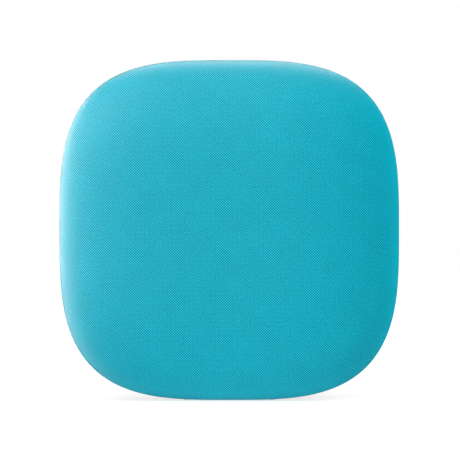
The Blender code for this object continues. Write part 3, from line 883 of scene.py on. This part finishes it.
KEY_RADIUS, KEY_STAND = 4.6 * MM, 0.6 * MM  # its cap, and how far it stands out of the band
KEY_EDGE = 0.55 * MM
DISH_RADIUS, DISH_STEPS = 3.9 * MM, 8
DISH_DEPTH, DISH_RISE = 0.32 * MM, 0.26 * MM  # its middle under the top, its rim over its middle
FLANGE_WIDTH, FLANGE_TOP, FLANGE_BASE = 1.2 * MM, -4.0 * MM, -4.9 * MM
PLUNGER_RADIUS, PLUNGER_END = 1.5 * MM, -6.6 * MM
SIGN_DROP, SIGN_HEIGHT = 0.12 * MM, 0.25 * MM  # its top under the cap's, and its own height


def key_profile():
    """A key in section, on its own axes: a dished cap, a flange below it and a plunger."""
    dish = [(0, KEY_STAND - DISH_DEPTH)]
    for step in range(1, DISH_STEPS + 1):
        share = step / DISH_STEPS
        dish.append((DISH_RADIUS * share, KEY_STAND - DISH_DEPTH + DISH_RISE * share**2.5))
    edge = arc(90, 0, (KEY_RADIUS - KEY_EDGE, KEY_STAND - KEY_EDGE), KEY_EDGE, KEY_EDGE)
    return dish + edge + [
        (KEY_RADIUS, FLANGE_TOP),
        (KEY_RADIUS + FLANGE_WIDTH, FLANGE_TOP),
        (KEY_RADIUS + FLANGE_WIDTH, FLANGE_BASE),
        (PLUNGER_RADIUS, FLANGE_BASE),
        (PLUNGER_RADIUS, PLUNGER_END),
        (0, PLUNGER_END),
    ]


def build_keys():
    """Each key's cap, and the sign on it."""
    top = KEY_STAND - SIGN_DROP
    cap_look, sign_look = material("key_plastic", KEY_PLASTIC), material("icon_paint", ICON_PAINT)
    for key in KEYS:
        place, body = key_place(key), f"key_{key}"
        mesh = turned(key_profile(), 72, place=place)
        cap = show(f"key_{key}", mesh, body, "graphite_plastic", cap_look)
        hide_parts(f"button_{key}")
        # The key's own Z points to the speaker's front, which is below a sign for its reader,
        # so each outline is turned over.
        outlines = [[(x, -z) for x, z in reversed(outline)] for outline in icon_outlines(key)]
        signs = merged([prism(outline, top - SIGN_HEIGHT, top, place) for outline in outlines])
        sign = show(f"sign_{key}", signs, body, "graphite_plastic", sign_look)
        edge_round = sign.modifiers.new("edge", "BEVEL")
        edge_round.width = 0.05 * MM
        edge_round.segments = 2


# The driver's and the radiator's soft rings


def roll_profile(inner, outer, land, base, height, thickness, steps=20):
    """A half-round roll between two flat lands, in section."""
    middle, half = (inner + outer) / 2, (outer - inner) / 2
    thick = math.copysign(thickness, height)

    def crest(shrink, lift):
        points = []
        for step in range(steps + 1):
            turn = math.pi * step / steps
            x = middle + (half - shrink) * math.cos(turn)
            points.append((x, base + lift + (height - thick) * math.sin(turn) ** 0.9))
        return points

    return (
        [(outer + land, base), (outer + land, base + thick)]
        + crest(0, thick)
        + [(inner - land, base + thick), (inner - land, base)]
        + crest(thickness, 0)[::-1]
    )


def corrugated_profile(inner, outer, base, height, thickness, waves, steps=12):
    """A sheet in even waves between two flat lands, in section."""
    inner_land, outer_land = 1.0 * MM, 1.8 * MM
    folds = [(inner, base)]
    start, end = inner + inner_land, outer - outer_land
    for step in range(waves * steps + 1):
        swing = 0.5 - 0.5 * math.cos(math.tau * step / steps)
        folds.append((start + (end - start) * step / (waves * steps), base + height * swing))
    folds.append((outer, base))
    return folds + [(x, y - thickness) for x, y in folds[::-1]]


def soft_ring(name, cad_node, profile, slot):
    """A ring between two radii, the moving body's and the housing's.

    It is cut in sectors.
    """
    per_sector = ROUND_STEPS // SECTORS
    for sector in range(SECTORS):
        mesh = bmesh.new()
        rows = []
        for step in range(per_sector + 1):
            turn = math.tau * (sector + step / per_sector) / SECTORS
            across, up = math.cos(turn), math.sin(turn)
            rows.append([mesh.verts.new((r * across, y, CENTRE_Z + r * up)) for r, y in profile])
        count = len(profile)
        for first, second in zip(rows, rows[1:]):
            for index in range(count):
                after = (index + 1) % count
                mesh.faces.new((first[index], first[after], second[after], second[index]))
        bmesh.ops.recalc_face_normals(mesh, faces=mesh.faces)
        piece = show(f"{name}_{sector + 1}", mesh, None, slot, sharp=50)
        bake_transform(piece)
        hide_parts(cad_node)


def build_soft_rings():
    surround = roll_profile(
        inner=20.2 * MM, outer=24.8 * MM, land=1.2 * MM,
        base=-18.1 * MM, height=-2.3 * MM, thickness=0.5 * MM,
    )
    soft_ring(
        "cone_surround", "driver_surround", surround,
        slot="black_rubber",
    )
    spider = corrugated_profile(
        inner=10.4 * MM, outer=20.0 * MM, base=-6.4 * MM,
        height=-0.9 * MM, thickness=0.4 * MM, waves=3,
    )
    soft_ring(
        "cone_spider", "driver_spider", spider,
        slot="spider_cloth",
    )
    roll = roll_profile(
        inner=16.8 * MM, outer=22.2 * MM, land=1.2 * MM,
        base=24.9 * MM, height=2.2 * MM, thickness=0.5 * MM,
    )
    soft_ring(
        "radiator_roll", "radiator_surround", roll,
        slot="black_rubber",
    )


def build_radiator():
    """The passive radiator's rim and the turned plate in its middle."""
    low, high = RADIATOR_LOW, RADIATOR_HIGH
    rim, seat = high.x - 3.3 * MM, 24.6 * MM
    front_ring = [
        (21.9 * MM, low.y),
        (high.x, low.y),
        (high.x, 25.3 * MM),
        (rim, 25.3 * MM),
        (rim, high.y - 0.35 * MM),
        (rim - 0.35 * MM, high.y),
        (24.6 * MM, high.y),
        (23.8 * MM, high.y - 0.9 * MM),
        (23.7 * MM, seat),
        (21.9 * MM, seat),
    ]
    mesh = turned(rounded(front_ring, 0.15 * MM, 3))
    look = material("rim_plastic", RIM_PLASTIC)
    ring = show("radiator_rim", mesh, "housing", "black_plastic", look)
    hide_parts("radiator_frame")
    face, back = PLATE_HIGH.y, 23.4 * MM
    plate = [
        (0, face - 0.35 * MM),
        (7.6 * MM, face - 0.35 * MM),
        (8.3 * MM, face - 0.05 * MM),
        (8.9 * MM, face),
        (14.4 * MM, face),
        (15.3 * MM, face - 0.5 * MM),
        (15.3 * MM, seat),
        (16.7 * MM, seat),
        (16.7 * MM, back),
        (9.0 * MM, back),
        (9.0 * MM, PLATE_LOW.y),
        (0, PLATE_LOW.y),
    ]
    mesh = turned(rounded(plate, 0.15 * MM, 3))
    look = material("spun_aluminium", spun_aluminium)
    disc = show("radiator_disc", mesh, "radiator", "satin_aluminium", look)
    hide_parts("radiator_plate")


# Sockets and screws


USB_WALL = 0.3 * MM
USB_DEEP = 1.2 * MM  # from the shell's front to the floor inside it
CONTACTS, CONTACT_SPACING = 10, 0.58 * MM
CONTACT_HALF_WIDTH, CONTACT_HALF_THICKNESS = 0.14 * MM, 0.03 * MM


def build_usb_socket():
    """The socket's steel shell, the tongue on its floor and the tongue's contacts."""
    low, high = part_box("usb_c_socket")
    middle = (low + high) / 2
    width, height = high.x - low.x, high.z - low.z

    def outline(inset):
        return slot_outline(middle.x, middle.z, width - inset, height - inset)

    piece = show("usb_c_shell", prism(outline(0), low.y, high.y), "housing", "zinc_steel")
    bottom = low.y + USB_DEEP
    combine(piece, prism(outline(2 * USB_WALL), bottom, high.y + PAST), "DIFFERENCE")
    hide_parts("usb_c_socket")
    insert = prism(outline(2.4 * USB_WALL), bottom + 0.05 * MM, bottom + 0.6 * MM)
    part = show("usb_c_tongue", insert, "housing", "black_plastic")
    half, thick = 3.3 * MM, 0.35 * MM  # the tongue's, each side of its middle
    near = (middle.x - half, bottom + 0.3 * MM, middle.z - thick)
    far = (middle.x + half, high.y - 1.2 * MM, middle.z + thick)
    combine(part, box(near, far), "UNION")
    contacts = []
    for side in (-1, 1):
        for index in range(CONTACTS):
            x = middle.x + (index - (CONTACTS - 1) / 2) * CONTACT_SPACING
            z = middle.z + side * (thick + 0.01 * MM)
            near = (x - CONTACT_HALF_WIDTH, low.y + 2.5 * MM, z - CONTACT_HALF_THICKNESS)
            far = (x + CONTACT_HALF_WIDTH, high.y - 1.6 * MM, z + CONTACT_HALF_THICKNESS)
            contacts.append(box(near, far))
    gold = material("contact_gold", CONTACT_GOLD)
    show("usb_c_contacts", merged(contacts), "housing", "copper_wire", gold)


def build_aux_socket():
    """The jack's body, and the metal ring round its hole."""
    low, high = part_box("aux_jack")
    middle = node_middle("aux_jack")
    place = Matrix.Translation((middle.x, 0, middle.z))
    body = box(low, (high.x, 24.6 * MM, high.z))
    piece = show("aux_body", body, "housing", "black_plastic")
    combine(piece, cylinder(2.9 * MM, 24.0 * MM, high.y, place), "UNION")
    combine(piece, cylinder(1.8 * MM, 14.5 * MM, high.y + PAST, place), "DIFFERENCE")
    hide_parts("aux_jack")
    inner, outer = 1.82 * MM, 2.75 * MM
    ring = [
        (inner, high.y - 1.0 * MM),
        (outer, high.y - 1.0 * MM),
        (outer, high.y + 0.1 * MM),
        (outer - 0.25 * MM, high.y + 0.3 * MM),
        (2.1 * MM, high.y + 0.3 * MM),
        (inner, high.y + 0.05 * MM),
    ]
    gold = material("contact_gold", CONTACT_GOLD)
    show("aux_ring", turned(ring, 64, place=place), "housing", "zinc_steel", gold)


HEAD_RADIUS, HEAD_CORNER, HEAD_SEAT = 2.7 * MM, (1.2 * MM, 0.9 * MM), 22.7 * MM
SHANK_RADIUS, TIP_RADIUS, TIP_LENGTH = 1.3 * MM, 0.9 * MM, 0.5 * MM
CROSS_REACH, CROSS_HALF_WIDTH, CROSS_DEPTH = 1.5 * MM, 0.28 * MM, 1.1 * MM
CROSS_TURN = 17  # degrees, from each screw to the next


def build_case_screws():
    """The case screws, each with its cross turned another way."""
    for number, (x, z) in enumerate(screw_places(), 1):
        low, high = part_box(f"case_screw_{number}")
        place = Matrix.Translation((x, 0, z))
        top = high.y
        profile = [(0, top)]
        profile += arc(90, 0, (1.5 * MM, top - HEAD_CORNER[1]), *HEAD_CORNER)
        profile += [
            (HEAD_RADIUS, HEAD_SEAT),
            (SHANK_RADIUS, HEAD_SEAT),
            (SHANK_RADIUS, low.y + TIP_LENGTH),
            (TIP_RADIUS, low.y),
            (0, low.y),
        ]
        piece = show(f"screw_{number}", turned(profile, 48, place=place), "housing", "zinc_steel")
        for turn in (25, 115):
            spin = place @ Matrix.Rotation(math.radians(turn + CROSS_TURN * number), 4, "Y")
            near = (-CROSS_REACH, top - CROSS_DEPTH, -CROSS_HALF_WIDTH)
            far = (CROSS_REACH, top + PAST, CROSS_HALF_WIDTH)
            combine(piece, box(near, far, spin), "DIFFERENCE")
        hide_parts(f"case_screw_{number}")


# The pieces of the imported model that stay


def dress_kept_nodes():
    """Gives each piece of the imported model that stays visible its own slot's material."""
    slots = {part["node"]: part["material_slot"] for part in frame["record"]["subparts"]}
    for name, piece in frame["nodes"].items():
        if piece.hide_render:
            continue
        piece.data.materials.clear()
        piece.data.materials.append(slot_material(slots[name]))


# Floor, light and camera


FLOOR_HALF_WIDTH = 6.0
# How bright the paper is to the camera: near the speaker, where shadows show, and from
# PAPER_REACH outwards.
PAPER_NEAR, PAPER_FAR, PAPER_REACH = 0.72, 1.0, 0.45
FLOOR_GLOW, GLOW_REACH = 0.75, 120 * MM  # the soft light from the floor under the speaker


def build_floor():
    """A plain pale floor that stays near white, with only a faint shadow on it."""
    mesh = bmesh.new()
    bmesh.ops.create_grid(mesh, x_segments=1, y_segments=1, size=FLOOR_HALF_WIDTH)
    floor = bpy.data.objects.new("floor", mesh_of(mesh, "floor"))
    bpy.context.scene.collection.objects.link(floor)
    paper = bpy.data.materials.new("white_paper")
    paper.use_nodes = True
    tree = paper.node_tree
    tree.nodes.remove(tree.nodes["Principled BSDF"])
    rays = node(tree, "ShaderNodeLightPath").outputs
    lit = node(tree, "ShaderNodeBsdfDiffuse", Color=(0.45, 0.45, 0.45, 1)).outputs[0]
    place = node(tree, "ShaderNodeNewGeometry").outputs["Position"]
    reach = node(tree, "ShaderNodeVectorMath", {"operation": "LENGTH"}, i0=place).outputs["Value"]
    fading = spread(tree, reach, 0, GLOW_REACH, 1, 0)
    bounce = math_node(tree, "MULTIPLY", rays["Is Diffuse Ray"], fading)
    paper_white = spread(tree, reach, 0.1, PAPER_REACH, PAPER_NEAR, PAPER_FAR)
    shown = math_node(tree, "MULTIPLY", rays["Is Camera Ray"], paper_white)
    strength = weighted(tree, (shown, 1.0), (bounce, FLOOR_GLOW))
    glow = node(tree, "ShaderNodeEmission", Color=(1, 1, 1, 1), Strength=strength).outputs[0]
    both = node(tree, "ShaderNodeAddShader", i0=lit, i1=glow).outputs[0]
    tree.links.new(both, tree.nodes["Material Output"].inputs["Surface"])
    floor.data.materials.append(paper)
    floor.visible_glossy = False


def build_world():
    """White behind everything the camera sees. It lights nothing: the lamps do."""
    world = bpy.data.worlds.new("studio")
    bpy.context.scene.world = world
    world.use_nodes = True
    tree = world.node_tree
    seen = node(tree, "ShaderNodeLightPath").outputs["Is Camera Ray"]
    unlit = node(tree, "ShaderNodeBackground", Strength=0.0).outputs[0]
    white = node(tree, "ShaderNodeBackground", Color=(1, 1, 1, 1), Strength=1.0).outputs[0]
    both = node(tree, "ShaderNodeMixShader", i0=seen, i1=unlit, i2=white).outputs[0]
    tree.links.new(both, tree.nodes["World Output"].inputs["Surface"])


LAMP_DISTANCE, LAMP_SIZE = 1.1, 0.8
# Each lamp's direction from the speaker, and its watts of soft light and of the cloth's sheen.
LAMPS = {
    "front_left_high": ((-0.6, -0.6, 0.55), 9.1, 40.0),
    "front_right_high": ((0.6, -0.6, 0.55), 7.9, 0.0),
    "left": ((-1.0, -0.05, 0.1), 8.5, 34.0),
    "low_left": ((-0.85, 0.3, -0.4), 0.0, 16.0),
    "above": ((0.0, -0.05, 1.0), 0.0, 6.0),
    "behind_right": ((0.8, 0.55, 0.2), 11.5, 0.0),
    "behind_left": ((-0.8, 0.55, 0.2), 0.0, 30.0),
    "behind_high": ((0.0, 0.5, 0.85), 0.0, 24.0),
}
# The directions of large dim panels that light every piece but the cloth, and that the
# metal and plastic reflect.
PANEL_SIZE, PANEL_POWER = 1.5, 4.0
PANELS = {
    "panel_right": (1.0, 0.0, 0.15),
    "panel_front_right": (0.7, -0.7, 0.15),
    "panel_front": (-0.2, -1.0, 0.2),
    "panel_front_left": (-0.7, -0.7, 0.15),
    "panel_left": (-1.0, 0.0, 0.15),
    "panel_behind": (0.0, 1.0, 0.25),
    "panel_behind_right": (0.7, 0.7, 0.15),
    "panel_behind_left": (-0.7, 0.7, 0.15),
    "panel_above": (0.2, 0.0, 1.0),
}
BELOW = (0.0, 0.2, -1.0)


def soft_box(name, direction, power, diffuse=True, glossy=True, size=LAMP_SIZE):
    """A square lamp facing the speaker, for diffuse light, glossy light or both.

    Multiple importance sampling is off where it gives one kind: with it, the other leaks in.
    """
    data = bpy.data.lights.new(name, "AREA")
    data.shape = "SQUARE"
    data.size = size
    data.energy = power
    lamp = bpy.data.objects.new(name, data)
    lamp.location = AXIS + Vector(direction).normalized() * LAMP_DISTANCE
    lamp.rotation_euler = (AXIS - lamp.location).to_track_quat("-Z", "Y").to_euler()
    lamp.visible_diffuse = diffuse
    lamp.visible_glossy = glossy
    data.cycles.use_multiple_importance_sampling = diffuse and glossy
    bpy.context.scene.collection.objects.link(lamp)
    return lamp


def named_collection(name, wanted):
    """A collection of the meshes whose name is wanted, for a lamp to shine on alone."""
    chosen = bpy.data.collections.new(name)
    for piece in bpy.context.scene.objects:
        if piece.type == "MESH" and wanted(piece.name):
            chosen.objects.link(piece)
    return chosen


def build_lights():
    """Lamps for everything, lamps that give only the cloth its sheen, and the panels."""
    left_out = ("cloth_cover", "floor")
    cloth_only = named_collection("cloth_only", lambda name: name == "cloth_cover")
    hard_pieces = named_collection("hard_pieces", lambda name: name not in left_out)
    for name, (direction, soft, sheen) in LAMPS.items():
        if soft:
            soft_box(f"{name}_soft", direction, soft, glossy=False)
        if sheen:
            lamp = soft_box(f"{name}_sheen", direction, sheen, diffuse=False)
            lamp.light_linking.receiver_collection = cloth_only
            lamp.light_linking.blocker_collection = cloth_only
    for name, direction in PANELS.items():
        panel = soft_box(name, direction, PANEL_POWER, size=PANEL_SIZE)
        panel.light_linking.receiver_collection = hard_pieces
    # The floor shows in no reflection, so this panel stands in for it.
    below = soft_box("panel_below", BELOW, PANEL_POWER, diffuse=False, size=PANEL_SIZE)
    below.light_linking.receiver_collection = hard_pieces
    below.light_linking.blocker_collection = hard_pieces


CAMERA_DISTANCE, CAMERA_ASIDE = 1.3, 0.3 * MM
SHARE_OF_PICTURE = 0.7375  # that the speaker's width takes up


def build_camera():
    """Level with the middle of the front, from far enough away that it looks flat."""
    data = bpy.data.cameras.new("camera")
    width = 2 * HALF_WIDTH / SHARE_OF_PICTURE
    data.lens = data.sensor_width * CAMERA_DISTANCE / width
    data.clip_end = 50
    camera = bpy.data.objects.new("camera", data)
    camera.location = (CAMERA_ASIDE, SEAM_Y - CAMERA_DISTANCE, CENTRE_Z)
    camera.rotation_euler = (math.radians(90), 0, 0)
    bpy.context.scene.collection.objects.link(camera)
    bpy.context.scene.camera = camera


def main():
    bpy.context.scene.view_settings.view_transform = "Standard"
    build_camera()
    build_world()
    build_floor()
    build_cloth()
    build_band()
    build_rear_shell()
    build_foot()
    build_seam_seal()
    build_keys()
    build_soft_rings()
    build_radiator()
    build_usb_socket()
    build_aux_socket()
    build_case_screws()
    dress_kept_nodes()
    build_lights()


main()
